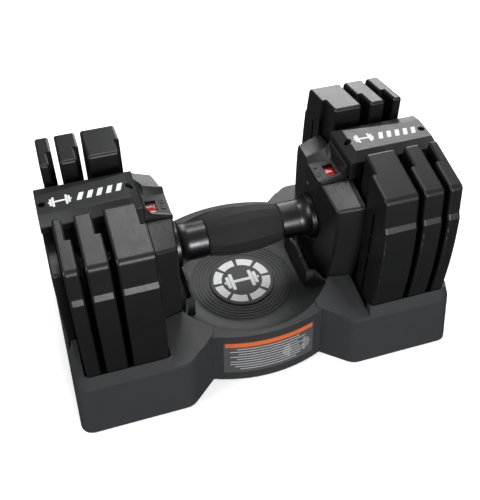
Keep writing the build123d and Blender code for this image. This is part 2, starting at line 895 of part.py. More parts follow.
def tray_shell():
    body = loft([outline_at(tray_base).face(), outline_at(crease_height).face()], ruled=True)
    reach = waist_half_length + 12.2
    waist = block((-reach, reach), (-tray_half_width, tray_half_width), (crease_height, ledge_height))
    body += waist & extrude(outline_at(crease_height), amount=10)
    end = loft([rim_outline(crease_height, 0).face(), rim_outline(rim_height, 3.4).face()], ruled=True)
    end -= shoulder_slope()
    body += end
    body += mirror(end, about=Plane.YZ)
    body -= bowl()
    walls, pocket = cradle()
    for shape in mirrored(walls):
        body += shape
    for shape in mirrored(pocket):
        body -= shape
    for shape in mirrored(well()):
        body -= shape
    for shape in mirrored(fittings()):
        body += shape
    for shape in mirrored(hollows()):
        body -= shape
    body -= grooves()
    body -= Pos(0, 0, deck_height) * Cylinder(badge_radius + seam, 2.4)
    for shape in mirrored(feet_seats()):
        body -= shape
    body -= label_plate(0.15)
    return body


def well():
    """Pocket for the three plates, with the notch for the end cap."""
    body = block((well_in, well_out), (-well_half_width, well_half_width), (well_floor, 100))
    body = fillet(body.edges().filter_by(Axis.Z), 5.0)
    notch_half = 45.5
    body += block((well_out - 1, cap_out + easy), (-notch_half, notch_half), (housing_bottom - easy, 100))
    return body


def fittings():
    """Locating ribs between the plates, housing rests and the release post."""
    rib_depth = 6.0
    rib_width = plate_gap - 2.0
    leg = leg_half_width - easy
    body = block((lock_start - 0.3, lock_end + 0.2), (-leg, leg), (pocket_floor - 1, leg_bottom - rest_gap))
    for side in (-1, 1):
        inner, outer = sorted((side * 16.0, side * 26.0))
        rest = (pocket_floor - 1, housing_bottom - rest_gap)
        body += block((housing_in + 2, housing_web - 1), (inner, outer), rest)
        for size in ("thick", "medium"):
            middle = plate_start[size] + plate_depths[size] + plate_gap / 2
            reach = sorted((side * (plate_side - 10), side * (well_half_width + 0.5)))
            body += block((middle - rib_width / 2, middle + rib_width / 2), reach, (well_floor - 1, 22))
            reach = sorted((side * (well_half_width - 2.5), side * (well_half_width + 0.5)))
            body += block((middle - rib_width / 2, middle + rib_width / 2), reach, (20, rim_height - 2))
    return body


def hollows():
    """Spaces under the moulding, which is open at the bottom."""
    body = Cylinder(deck_radius + 9, 2 * (deck_height - wall - 1))
    body += block((well_in - 18, well_in - wall), (-60, 60), (0, pocket_floor - wall))
    floor_top = well_floor - wall
    body += block((well_in + 12, (well_in + well_out) / 2 - 2), (-64, 64), (0, floor_top))
    body += block(((well_in + well_out) / 2 + 2, well_out - 2), (-64, 64), (0, floor_top))
    return body


foot_radius = 8.0
foot_places = [(well_in + 9, well_half_width - 7.3), (well_out - 8, well_half_width - 7.3)]
foot_seat = 1.2


def feet_seats():
    body = Part()
    for x, y in foot_places:
        for side in (-1, 1):
            body += Pos(x, side * y, tray_base) * Cylinder(foot_radius + 0.1, 2 * foot_seat)
    return body


def tray_feet():
    feet = []
    height = tray_base + foot_seat - running
    for x, y in foot_places:
        for side in (-1, 1):
            foot = Pos(x, side * y, height / 2) * Cylinder(foot_radius, height)
            feet.append(chamfer(foot.edges().group_by(Axis.Z)[0], 0.5))
    return feet


def center_badge():
    body = Pos(0, 0, deck_height) * Cylinder(badge_radius, 2.2)
    return fillet(body.edges().group_by(Axis.Z)[-1], 0.5)


label_low = 11.0
label_high = 48.0
label_half_angle = 18.4
label_thickness = 0.8


def label_plate(extra=0.0):
    """Thin plate that follows the bulging front wall."""
    radius = (waist_half_length**2 + waist_belly**2) / (2 * waist_belly)
    centre_y = radius - waist_half_width - waist_belly
    lean = waist_draft / (crease_height - tray_base)

    def wall_radius(height):
        return radius - lean * (height - tray_base)

    low, high = label_low - extra, label_high + extra
    depth = label_thickness + extra
    proud = 0.25
    outline = Polyline(
        (wall_radius(low) + proud, low), (wall_radius(high) + proud, high),
        (wall_radius(high) - depth + proud, high), (wall_radius(low) - depth + proud, low), close=True
    )
    face = Plane((0, 0, 0), x_dir=(0, -1, 0), z_dir=(-1, 0, 0)) * make_face(outline)
    angle = label_half_angle + extra * 0.5
    body = revolve(Rot(0, 0, -angle) * face, axis=Axis.Z, revolution_arc=2 * angle)
    return Pos(0, centre_y, 0) * body


# ---------------------------------------------------------------- write the pieces
def main():
    os.makedirs("parts", exist_ok=True)
    save("tray_shell", tray_shell())
    save_group("tray_feet", [piece for foot in tray_feet() for piece in mirrored(foot)])
    save("center_badge", center_badge())
    save("front_label", label_plate())
    for size in plate_depths:
        save_pair(f"plate_{size}", plate(size))
        save_pair(f"weight_core_{size}", across(core_outline(), *core_span(size)))
        save_pair(f"selector_{size}", selector(size))
    save_pair("housing_inner", housing_inner())
    save_pair("housing_outer", housing_outer())
    save_pair("window_bezel", window_bezel())
    save_pair("bridge_beam", bridge_beam())
    save_pair("top_cover", top_cover())
    save_pair("end_cap", end_cap())
    save_pair("bushing_inner", bushing_inner())
    save_pair("bushing_outer", bushing_outer())
    save_pair("lock_slider", lock_slider())
    save_pair("lock_spring", lock_spring())
    save_pair("lock_wheel", lock_wheel())
    save_pair("dial_ring", dial_ring())
    save_pair("collar", collar())
    save_pair("shaft_retainer", shaft_retainer())
    save("grip_sleeve", grip_sleeve())
    save("handle_tube", handle_tube())
    save("selector_shaft", selector_shaft())
    save_group("cover_screws", [piece for one in cover_screws() for piece in mirrored(one)])
    save_group("housing_screws", [piece for one in housing_screws() for piece in mirrored(one)])
    save_group("end_cap_screws", [piece for one in end_cap_screws() for piece in mirrored(one)])


main()
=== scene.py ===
"""Adjustable dumbbell docked in its tray: finishes, marks, grip and studio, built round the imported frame."""

import math

import bmesh
import bpy
from bpy.props import FloatProperty, FloatVectorProperty, IntProperty, PointerProperty
from mathutils import Matrix, Vector
from mathutils.bvhtree import BVHTree


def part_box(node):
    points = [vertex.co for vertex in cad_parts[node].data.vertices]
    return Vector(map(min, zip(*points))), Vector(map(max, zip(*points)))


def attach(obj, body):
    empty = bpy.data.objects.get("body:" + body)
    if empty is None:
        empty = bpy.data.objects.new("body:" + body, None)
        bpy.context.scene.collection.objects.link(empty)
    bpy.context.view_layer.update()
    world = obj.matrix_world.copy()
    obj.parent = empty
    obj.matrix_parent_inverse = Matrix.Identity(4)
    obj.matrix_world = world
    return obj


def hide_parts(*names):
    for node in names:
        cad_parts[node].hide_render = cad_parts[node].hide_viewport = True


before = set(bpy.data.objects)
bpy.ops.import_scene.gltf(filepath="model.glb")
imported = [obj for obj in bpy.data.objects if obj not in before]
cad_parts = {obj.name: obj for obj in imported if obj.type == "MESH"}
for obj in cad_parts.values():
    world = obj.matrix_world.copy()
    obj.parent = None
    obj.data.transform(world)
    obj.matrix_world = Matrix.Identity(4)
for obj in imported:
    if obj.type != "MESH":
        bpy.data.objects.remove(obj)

bl_info = {
    "name": "Adjustable dumbbell",
    "version": (1, 0, 0),
    "blender": (4, 5, 0),
    "location": "View3D > Sidebar > Dumbbell",
    "description": "Finishes, printed marks, grip and studio for an adjustable dumbbell in its tray",
    "category": "Object",
}

MM = 0.001
FULL_TURN = 2 * math.pi
PANEL_TAB = "Dumbbell"

# How far a mark reaches into the surface that it lies on, and how the dials' numbers sit
INK_SINK = 0.1 * MM
DIGIT_INSET = 0.5 * MM
DIGIT_TURN = math.radians(1.0)
DIGIT_WEIGHT = 0.012

# Faces and stations read from the frame
DIAL_LOW, DIAL_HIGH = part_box("dial_ring_right")
DIAL_MIDDLE = (DIAL_LOW[0] + DIAL_HIGH[0]) / 2
AXIS_HEIGHT = (DIAL_LOW[2] + DIAL_HIGH[2]) / 2
DIAL_RADIUS = (DIAL_HIGH[2] - DIAL_LOW[2]) / 2
BADGE_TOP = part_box("center_badge")[1][2]
GRIP_LOW, GRIP_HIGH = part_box("grip_sleeve")
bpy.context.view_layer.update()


# ---------------------------------------------------------------- settings
def length(name, description, default):
    return FloatProperty(
        name=name, description=description, default=default, min=0.0, unit="LENGTH", precision=5
    )


def power(name, description, default):
    return FloatProperty(name=name, description=description, default=default, min=0.0, unit="POWER")


def colour(name, description, default):
    return FloatVectorProperty(
        name=name, description=description, default=default, min=0.0, max=1.0, subtype="COLOR"
    )


class DumbbellSizes(bpy.types.PropertyGroup):
    """Sizes of the marks, the label's print and the grip's facets."""

    digit_height: length("Digit height", "Height of the weight numbers on the dials", 7.2 * MM)
    unit_height: length("Unit mark height", "Height of the moulded unit marks beside the windows", 4.0 * MM)
    print_lift: length("Print lift", "How far printed marks stand off their surface", 0.12 * MM)
    relief: length("Moulded relief", "How far moulded marks stand off the plastic", 0.5 * MM)
    cover_mark_height: length("Cover mark height", "Height of the mark on the covers", 11.0 * MM)
    badge_mark_radius: length("Badge mark radius", "Outer radius of the badge's ring", 25.6 * MM)
    badge_ring_width: length("Badge ring width", "Width of the badge's ring", 7.4 * MM)
    label_band: length("Label band", "Height of the coloured band on the label", 4.6 * MM)
    label_pitch: length("Label line pitch", "Distance between the lines on the label", 3.1 * MM)
    label_lines: IntProperty(name="Label lines", description="Number of lines on the label", default=9, min=1)
    grip_facets: IntProperty(
        name="Grip facets", description="Number of long facets round the grip", default=14, min=3
    )
    badge_segments: IntProperty(
        name="Badge segments", description="Number of segments in the ring", default=8, min=3
    )


class DumbbellColours(bpy.types.PropertyGroup):
    """Base colours of the finishes."""

    tray: colour("Tray", "Moulded tray", (0.029, 0.0295, 0.031))
    plates: colour("Plates", "Shells of the weight plates", (0.0052, 0.0053, 0.0056))
    heads: colour("Heads", "Housings, bezels and end caps", (0.0075, 0.0076, 0.008))
    covers: colour("Covers", "Top covers", (0.014, 0.0142, 0.0149))
    grip: colour("Grip", "Rubber grip", (0.0105, 0.0105, 0.011))
    collar: colour("Collar", "Brushed metal collars", (0.036, 0.036, 0.037))
    dial: colour("Dial", "Dial rings under the windows", (0.55, 0.006, 0.012))
    ink: colour("Ink", "Pale print on dials, covers and badge", (0.62, 0.62, 0.62))
    badge: colour("Badge", "Centre badge", (0.02, 0.02, 0.021))
    label: colour("Label", "Label plate", (0.068, 0.068, 0.071))
    label_band: colour("Label band", "Coloured band of the label", (0.62, 0.11, 0.02))
    label_ink: colour("Label ink", "Lines of the label", (0.36, 0.36, 0.37))
    label_sign: colour("Label sign", "Faint sign under the label's lines", (0.2, 0.2, 0.205))


class DumbbellStudio(bpy.types.PropertyGroup):
    """Floor and lights."""

    floor_size: length("Floor size", "Width of the floor", 12.0)
    key_power: power("Key light", "Power of the overhead softbox", 5.0)
    right_power: power("Right light", "Power of the softbox behind on the right", 9.0)
    rim_power: power("Rim light", "Power of the low softbox behind", 9.0)
    fill_power: power("Fill light", "Power of the softbox on the left", 14.0)
    front_power: power("Front light", "Power of the low softbox in front", 24.0)
    sky: FloatProperty(name="Sky", description="Strength of the surroundings", default=0.6, min=0.0)


# ---------------------------------------------------------------- node trees
class Value:
    """An output socket that takes part in Python arithmetic by adding Math nodes."""

    def __init__(self, graph, socket):
        self.graph = graph
        self.socket = socket

    def math(self, operation, *values):
        return self.graph.math(operation, *values)

    def __add__(self, other):
        return self.math("ADD", self, other)

    __radd__ = __add__

    def __sub__(self, other):
        return self.math("SUBTRACT", self, other)

    def __rsub__(self, other):
        return self.math("SUBTRACT", other, self)

    def __mul__(self, other):
        return self.math("MULTIPLY", self, other)

    __rmul__ = __mul__

    def __truediv__(self, other):
        return self.math("DIVIDE", self, other)

    def __rtruediv__(self, other):
        return self.math("DIVIDE", other, self)

    def __gt__(self, other):
        return self.math("GREATER_THAN", self, other)

    def __lt__(self, other):
        return self.math("LESS_THAN", self, other)


class Graph:
    """Adds nodes to one shader or geometry tree."""

    def __init__(self, tree):
        self.tree = tree

    def node(self, kind, settings=None, values=None, output=0):
        made = self.tree.nodes.new(kind)
        for name, setting in (settings or {}).items():
            setattr(made, name, setting)
        for key, value in (values or {}).items():
            if isinstance(value, Value):
                self.tree.links.new(value.socket, made.inputs[key])
            else:
                made.inputs[key].default_value = value
        return Value(self, made.outputs[output]) if made.outputs else None

    def also(self, value, name):
        """Another output of the node that a value comes from."""
        return Value(self, value.socket.node.outputs[name])

    def math(self, operation, *values):
        return self.node("ShaderNodeMath", {"operation": operation}, dict(enumerate(values)))

    def split(self, vector):
        x = self.node("ShaderNodeSeparateXYZ", values={0: vector})
        return x, self.also(x, "Y"), self.also(x, "Z")

    def join(self, x, y, z):
        return self.node("ShaderNodeCombineXYZ", values={0: x, 1: y, 2: z})

    def tint(self, base, factor):
        """A colour made lighter or darker by a factor that varies."""
        return self.node("ShaderNodeVectorMath", {"operation": "SCALE"}, {0: tuple(base), "Scale": factor})

    def place(self, stretch=(1, 1, 1)):
        """Position on the object, in metres, stretched along each axis."""
        where = self.node("ShaderNodeTexCoord", output="Object")
        return self.node("ShaderNodeMapping", values={"Vector": where, "Scale": stretch})

    def noise(self, where, size, detail=2.0, roughness=0.5):
        """Noise whose features have a size in metres, about 0.5."""
        values = {"Vector": where, "Scale": 1 / size, "Detail": detail, "Roughness": roughness}
        return self.node("ShaderNodeTexNoise", values=values)

    def cells(self, where, size):
        values = {"Vector": where, "Scale": 1 / size}
        return self.node("ShaderNodeTexVoronoi", values=values)

    def bump(self, height, depth, normal=None):
        values = {"Height": height, "Distance": depth, "Strength": 1.0}
        if normal:
            values["Normal"] = normal
        return self.node("ShaderNodeBump", values=values)


class Finish(Graph):
    """A procedural material while it is being made."""

    def __init__(self, name):
        self.material = bpy.data.materials.new(name)
        self.material.use_nodes = True
        super().__init__(self.material.node_tree)
        self.tree.nodes.clear()

    def surface(self, **sockets):
        """Ends the material with one shader; a socket's name is written with underscores."""
        values = {name.replace("_", " "): value for name, value in sockets.items()}
        shader = self.node("ShaderNodeBsdfPrincipled", values=values)
        self.node("ShaderNodeOutputMaterial", values={"Surface": shader})
        return self.material


# ---------------------------------------------------------------- finishes
def moulded_plastic(name, base, roughness=0.45, grain=0.5 * MM, depth=0.03 * MM, mottle=0.16, specular=0.3):
    """Satin moulding: spark-eroded grain, faint flow clouds and a rubbed sheen."""
    finish = Finish(name)
    place = finish.place()
    fine = finish.noise(place, grain, detail=3.0, roughness=0.6)
    pits = finish.cells(place, 1.6 * grain)
    clouds = finish.noise(place, 26 * MM, detail=3.0)
    rubbed = finish.noise(place, 7 * MM, detail=4.0, roughness=0.65)
    shade = 1 + (clouds - 0.5) * mottle + (fine - 0.5) * (1.6 * mottle) + (pits - 0.5) * (0.5 * mottle)
    gloss = roughness + (rubbed - 0.5) * 0.14 + (fine - 0.5) * 0.1
    return finish.surface(
        Base_Color=finish.tint(base, shade),
        Roughness=gloss,
        Specular_IOR_Level=specular,
        Normal=finish.bump(fine * 0.7 + pits * 0.5, depth),
    )


def soft_rubber(name, base):
    """Matte rubber with a fine stipple and a dusty bloom."""
    finish = Finish(name)
    place = finish.place()
    stipple = finish.cells(place, 0.7 * MM)
    fine = finish.noise(place, 0.35 * MM, detail=3.0)
    bloom = finish.noise(place, 12 * MM, detail=4.0, roughness=0.6)
    shade = 1 + (bloom - 0.5) * 0.35 + (stipple - 0.5) * 0.2
    return finish.surface(
        Base_Color=finish.tint(base, shade),
        Roughness=0.72 + (bloom - 0.5) * 0.16,
        Specular_IOR_Level=0.25,
        Normal=finish.bump(stipple * 0.6 + fine * 0.5, 0.06 * MM),
    )


def turned_metal(name, base, roughness, line=0.25 * MM, metallic=1.0):
    """Metal brushed round the handle's axis: fine rings, a few deeper ones, soft smudges."""
    finish = Finish(name)
    rings = finish.noise(finish.place((1, 0.02, 0.02)), line, detail=4.0, roughness=0.7)
    coarse = finish.noise(finish.place((1, 0.05, 0.05)), 5 * line, detail=2.0)
    smudge = finish.noise(finish.place(), 9 * MM, detail=3.0)
    shade = 1 + (rings - 0.5) * 0.5 + (coarse - 0.5) * 0.25
    return finish.surface(
        Base_Color=finish.tint(base, shade),
        Metallic=metallic,
        Roughness=roughness + (rings - 0.5) * 0.25 + (smudge - 0.5) * 0.12,
        Normal=finish.bump(rings * 0.6 + coarse * 0.4, 0.02 * MM),
    )


def worn_metal(name, base, roughness):
    """Small hardware: even metal with fine scratches and a darker bloom."""
    finish = Finish(name)
    scratches = finish.noise(finish.place((1, 1, 0.15)), 0.2 * MM, detail=3.0)
    bloom = finish.noise(finish.place(), 1.6 * MM, detail=3.0)
    return finish.surface(
        Base_Color=finish.tint(base, 1 + (bloom - 0.5) * 0.5),
        Metallic=1.0,
        Roughness=roughness + (scratches - 0.5) * 0.2,
        Normal=finish.bump(scratches, 0.01 * MM),
    )


def printed_ink(name, base, roughness=0.5):
    """Ink on a plastic surface: even colour, speckled where the grain shows through."""
    finish = Finish(name)
    place = finish.place()
    speckle = finish.noise(place, 0.3 * MM, detail=3.0)
    wear = finish.noise(place, 4 * MM, detail=4.0, roughness=0.7)
    shade = 1 + (speckle - 0.5) * 0.12 + (wear - 0.5) * 0.08
    return finish.surface(
        Base_Color=finish.tint(base, shade),
        Roughness=roughness + (wear - 0.5) * 0.15,
        Normal=finish.bump(speckle, 0.01 * MM),
    )


def printed_film(name, base):
    """Label film: smooth, a little cloudy, with fine dust."""
    finish = Finish(name)
    place = finish.place()
    cloud = finish.noise(place, 15 * MM, detail=3.0)
    dust = finish.noise(place, 0.25 * MM, detail=2.0)
    shade = 1 + (cloud - 0.5) * 0.14 + (dust - 0.5) * 0.16
    return finish.surface(
        Base_Color=finish.tint(base, shade),
        Roughness=0.42 + (cloud - 0.5) * 0.12,
        Normal=finish.bump(dust, 0.006 * MM),
    )


def clothe(material, *nodes):
    """Gives CAD nodes a material."""
    for name in nodes:
        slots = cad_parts[name].material_slots
        for slot in slots:
            slot.material = material


def both(*names):
    return [f"{name}_{side}" for name in names for side in ("left", "right")]


# ---------------------------------------------------------------- meshes
def finished(name, mesh, material, body, smooth=None):
    """Object at the origin for a finished mesh, riding on a body."""
    piece = bpy.data.objects.new(name, mesh)
    bpy.context.scene.collection.objects.link(piece)
    mesh.materials.clear()
    mesh.materials.append(material)
    mesh.polygons.foreach_set("use_smooth", [smooth is not None] * len(mesh.polygons))
    if smooth is not None:
        mesh.set_sharp_from_angle(angle=smooth)
    mesh.update()
    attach(piece, body)
    return piece


def slab_mesh(name, outlines, low, high, place):
    """Closed slabs over flat outlines of (u, v) points; place turns (u, v, w) into a position."""
    mesh = bpy.data.meshes.new(name)
    form = bmesh.new()
    for outline in outlines:
        under = [form.verts.new(place(u, v, low)) for u, v in outline]
        over = [form.verts.new(place(u, v, high)) for u, v in outline]
        form.faces.new(over)
        form.faces.new(under[::-1])
        for index in range(len(outline)):
            after = (index + 1) % len(outline)
            form.faces.new((under[index], under[after], over[after], over[index]))
    bmesh.ops.recalc_face_normals(form, faces=form.faces)
    form.to_mesh(mesh)
    form.free()
    return mesh


def rounded_bar(middle, half_width, half_height, corner, lean=0.0, steps=5):
    """Outline of a bar with rounded corners; lean shifts its top sideways."""
    points = []
    turns = ((1, -1, -90), (1, 1, 0), (-1, 1, 90), (-1, -1, 180))
    for across, up, start in turns:
        centre = (across * (half_width - corner), up * (half_height - corner))
        for step in range(steps + 1):
            angle = math.radians(start + 90 * step / steps)
            u = centre[0] + corner * math.cos(angle)
            v = centre[1] + corner * math.sin(angle)
            points.append((middle[0] + u + lean * v, middle[1] + v))
    return points


def dumbbell_sign(middle, width):
    """Plain sign of a dumbbell: a bar with two plates at each end."""
    u, v = middle
    parts = [rounded_bar(middle, 0.235 * width, 0.05 * width, 0.01 * width)]
    for side in (-1, 1):
        parts.append(rounded_bar((u + side * 0.285 * width, v), 0.05 * width, 0.31 * width, 0.03 * width))
        parts.append(rounded_bar((u + side * 0.4 * width, v), 0.05 * width, 0.22 * width, 0.03 * width))
        parts.append(rounded_bar((u + side * 0.485 * width, v), 0.022 * width, 0.05 * width, 0.015 * width))
    return parts


def lettering(text, cap_height, low, high, place, weight=0.0, width=None, spacing=1.0):
    """Mesh of closed letters about (0, 0), stretched to a width if one is given; place bends each point."""
    curve = bpy.data.curves.new(text, "FONT")
    curve.body = text
    curve.size = 1.0
    curve.offset = weight
    curve.space_character = spacing
    curve.extrude = 0.5
    curve.resolution_u = 6
    holder = bpy.data.objects.new(text, curve)
    mesh = bpy.data.meshes.new_from_object(holder)
    bpy.data.objects.remove(holder)
    bpy.data.curves.remove(curve)
    us = [vertex.co.x for vertex in mesh.vertices]
    vs = [vertex.co.y for vertex in mesh.vertices]
    scale = cap_height / (max(vs) - min(vs))
    stretch = width / (max(us) - min(us)) if width else scale
    middle = ((max(us) + min(us)) / 2, (max(vs) + min(vs)) / 2)
    for vertex in mesh.vertices:
        u = (vertex.co.x - middle[0]) * stretch
        v = (vertex.co.y - middle[1]) * scale
        w = high if vertex.co.z > 0 else low
        vertex.co = place(u, v, w)
    return mesh


def merged(name, meshes):
    """One mesh from several, with doubles joined and faces turned outwards."""
    form = bmesh.new()
    for mesh in meshes:
        form.from_mesh(mesh)
        bpy.data.meshes.remove(mesh)
    bmesh.ops.remove_doubles(form, verts=form.verts, dist=0.001 * MM)
    bmesh.ops.recalc_face_normals(form, faces=form.faces)
    joined = bpy.data.meshes.new(name)
    form.to_mesh(joined)
    form.free()
    return joined


def surface_of(*nodes):
    """Finder of the CAD surface's point and normal seen from a place in a direction."""
    points, faces = [], []
    for name in nodes:
        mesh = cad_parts[name].data
        start = len(points)
        points.extend(vertex.co.copy() for vertex in mesh.vertices)
        faces.extend([start + index for index in polygon.vertices] for polygon in mesh.polygons)
    tree = BVHTree.FromPolygons(points, faces)

    def find(origin, direction):
        where, normal, _, _ = tree.ray_cast(Vector(origin), Vector(direction))
        if where is None:
            raise RuntimeError("a mark has no surface under it")
        return where, normal if normal.dot(Vector(direction)) < 0 else -normal

    return find


def geometry_tree(name, sockets):
    """New Geometry Nodes tree with named inputs, given as (name, type, default)."""
    tree = bpy.data.node_groups.new(name, "GeometryNodeTree")
    for title, kind, default in sockets:
        socket = tree.interface.new_socket(title, in_out="INPUT", socket_type=kind)
        if default is not None:
            socket.default_value = default
    tree.interface.new_socket("Geometry", in_out="OUTPUT", socket_type="NodeSocketGeometry")
    graph = Graph(tree)
    source = graph.node("NodeGroupInput")
    inputs = {title: graph.also(source, title) for title, _, _ in sockets}
    return graph, inputs


def end_tree(graph, geometry, material):
    """Ends a tree in Realize Instances and Set Material."""
    whole = graph.node("GeometryNodeRealizeInstances", values={0: geometry})
    painted = graph.node("GeometryNodeSetMaterial", values={"Geometry": whole, "Material": material})
    graph.node("NodeGroupOutput", values={0: painted})


def grown(name, graph, settings):
    """Plain mesh that a tree makes, its inputs set by their identifiers."""
    holder = bpy.data.objects.new(name, bpy.data.meshes.new(name))
    bpy.context.scene.collection.objects.link(holder)
    modifier = holder.modifiers.new(name, "NODES")
    modifier.node_group = graph.tree
    for item in graph.tree.interface.items_tree:
        if item.in_out == "INPUT" and item.name in settings:
            modifier[item.identifier] = settings[item.name]
    holder.update_tag()
    bpy.context.view_layer.update()
    evaluated = holder.evaluated_get(bpy.context.evaluated_depsgraph_get())
    mesh = bpy.data.meshes.new_from_object(evaluated)
    holder.modifiers.remove(modifier)
    bpy.data.objects.remove(holder)
    return mesh


def tidy_mesh(mesh):
    """Joins doubles and turns faces outwards."""
    return merged(mesh.name, [mesh])


# ---------------------------------------------------------------- operators
class DUMBBELL_OT_tray(bpy.types.Operator):
    """Finish the tray's moulding and its feet"""

    bl_idname = "dumbbell.tray"
    bl_label = "Tray"

    def execute(self, context):
        colours = context.scene.dumbbell_colours
        clothe(moulded_plastic("tray_plastic", colours.tray, roughness=0.5, grain=0.6 * MM), "tray_shell")
        clothe(soft_rubber("foot_rubber", colours.grip), "tray_feet")
        return {"FINISHED"}


class DUMBBELL_OT_plates(bpy.types.Operator):
    """Finish the weight plates and their cores"""

    bl_idname = "dumbbell.plates"
    bl_label = "Plates"

    def execute(self, context):
        colours = context.scene.dumbbell_colours
        clothe(
            moulded_plastic(
                "plate_plastic", colours.plates,
                roughness=0.4, grain=0.55 * MM, depth=0.055 * MM, mottle=0.3, specular=0.36,
            ),
            *both("plate_thick", "plate_medium", "plate_thin"),
        )
        clothe(
            worn_metal("core_steel", (0.32, 0.31, 0.3), 0.5),
            *both("weight_core_thick", "weight_core_medium", "weight_core_thin"),
        )
        return {"FINISHED"}


class DUMBBELL_OT_heads(bpy.types.Operator):
    """Finish the housings, bezels, covers, end caps and the mechanism inside"""

    bl_idname = "dumbbell.heads"
    bl_label = "Heads"

    def execute(self, context):
        colours = context.scene.dumbbell_colours
        clothe(
            moulded_plastic(
                "head_plastic", colours.heads,
                roughness=0.4, grain=0.45 * MM, depth=0.04 * MM, mottle=0.24, specular=0.4,
            ),
            *both("housing_inner", "housing_outer", "window_bezel", "bridge_beam", "end_cap"),
        )
        cover = moulded_plastic("cover_plastic", colours.covers, roughness=0.34, grain=0.4 * MM)
        clothe(cover, *both("top_cover"))
        bushing = moulded_plastic("bushing_nylon", (0.62, 0.6, 0.55), roughness=0.4)
        clothe(bushing, *both("bushing_inner", "bushing_outer"))
        lock = moulded_plastic("lock_nylon", (0.3, 0.29, 0.27), roughness=0.4)
        clothe(lock, *both("lock_wheel", "lock_slider"))
        clothe(
            moulded_plastic("selector_nylon", (0.045, 0.045, 0.05), roughness=0.42),
            *both("selector_thick", "selector_medium", "selector_thin"),
        )
        clothe(worn_metal("spring_steel", (0.5, 0.5, 0.5), 0.3), *both("lock_spring"))
        clothe(worn_metal("black_oxide", (0.04, 0.04, 0.042), 0.4), "cover_screws", "end_cap_screws")
        clothe(worn_metal("bright_zinc", (0.75, 0.75, 0.76), 0.25), "housing_screws")
        return {"FINISHED"}


class DUMBBELL_OT_handle(bpy.types.Operator):
    """Finish the handle's metal and dials, and make the faceted grip"""

    bl_idname = "dumbbell.handle"
    bl_label = "Handle"

    def execute(self, context):
        colours = context.scene.dumbbell_colours
        sizes = context.scene.dumbbell_sizes
        clothe(turned_metal("collar_metal", colours.collar, 0.34), *both("collar"))
        steel = turned_metal("turned_steel", (0.5, 0.5, 0.5), 0.3)
        clothe(steel, "handle_tube", "selector_shaft", *both("shaft_retainer"))
        red = moulded_plastic("dial_red", colours.dial, roughness=0.5, mottle=0.08, specular=0.15)
        clothe(red, *both("dial_ring"))
        rubber = soft_rubber("grip_rubber", colours.grip)
        mesh = grown("grip_cover", grip_tree(rubber), {"Facets": sizes.grip_facets})
        crease = math.radians(40)
        grip = finished("grip_cover", tidy_mesh(mesh), rubber, "handle", smooth=crease)
        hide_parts("grip_sleeve")
        return {"FINISHED"}


def grip_tree(material):
    """Barrel whose long facets widen into flats at the middle, with a bore for the tube."""
    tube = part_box("handle_tube")
    half = (GRIP_HIGH[0] - GRIP_LOW[0]) / 2
    middle = (GRIP_HIGH[2] - GRIP_LOW[2]) / 2
    graph, given = geometry_tree(
        "grip",
        [
            ("Half length", "NodeSocketFloat", half),
            ("Middle radius", "NodeSocketFloat", middle),
            ("End radius", "NodeSocketFloat", 15.6 * MM),
            ("Bore radius", "NodeSocketFloat", (tube[1][2] - tube[0][2]) / 2 + 0.05 * MM),
            ("Facets", "NodeSocketInt", 14),
        ],
    )
    around, outer_steps, bore_steps = 168, 48, 6
    along = outer_steps + bore_steps
    grid = graph.node(
        "GeometryNodeMeshGrid",
        values={"Size X": 1.0, "Size Y": 1.0, "Vertices X": around + 1, "Vertices Y": along + 1},
    )
    across, up, _ = graph.split(graph.node("GeometryNodeInputPosition"))
    turn = (across + 0.5) * FULL_TURN
    step = (up + 0.5) * along
    bore = (step > outer_steps + 0.5) * (step < along - 0.5)
    travel = graph.math("MODULO", step, along - 0.25) / outer_steps * 2 - 1
    travel = graph.math("MINIMUM", graph.math("MAXIMUM", travel, -1.0), 1.0)
    fall = travel * travel
    barrel = given["End radius"] + (given["Middle radius"] - given["End radius"]) * (1 - fall)
    wedge = FULL_TURN / given["Facets"]
    off = (graph.math("FRACT", turn / wedge) - 0.5) * wedge
    flat = graph.math("COSINE", wedge / 2) / graph.math("COSINE", off)
    outer = barrel * (1 - (1 - flat) * (1 - fall * fall))
    lip = graph.math("MAXIMUM", graph.math("ABSOLUTE", travel) - 0.985, 0.0) * (22 * MM)
    radius = (outer - lip) * (1 - bore) + given["Bore radius"] * bore
    back = 1 - (step - (outer_steps + 1)) / (bore_steps - 2) * 2
    station = (travel * (1 - bore) + back * bore) * given["Half length"]
    placed = graph.join(
        station, radius * graph.math("SINE", turn), radius * graph.math("COSINE", turn) + AXIS_HEIGHT
    )
    shaped = graph.node("GeometryNodeSetPosition", values={"Geometry": grid, "Position": placed})
    closed = graph.node("GeometryNodeMergeByDistance", values={"Geometry": shaped, "Distance": 0.001 * MM})
    end_tree(graph, closed, material)
    return graph


class DUMBBELL_OT_dial_numbers(bpy.types.Operator):
    """Print the weight of each setting round the dials, pounds on the right and kilograms on the left"""

    bl_idname = "dumbbell.dial_numbers"
    bl_label = "Dial numbers"

    def execute(self, context):
        sizes = context.scene.dumbbell_sizes
        ink = printed_ink("dial_ink", context.scene.dumbbell_colours.ink)
        weights = {"right": ("4", "8", "12", "16", "20"), "left": ("1.8", "3.6", "5.4", "7.3", "9.1")}
        step = math.radians(45)
        for side, texts in weights.items():
            facing = 1 if side == "right" else -1
            meshes = []
            for index, text in enumerate(texts):
                place = on_dial(facing, index * step)
                height, lift = sizes.digit_height, sizes.print_lift
                meshes.append(lettering(text, height, -INK_SINK, lift, place, weight=DIGIT_WEIGHT))
            mesh = merged(f"dial_numbers_{side}", meshes)
            finished(f"dial_numbers_{side}", mesh, ink, "handle")
        return {"FINISHED"}


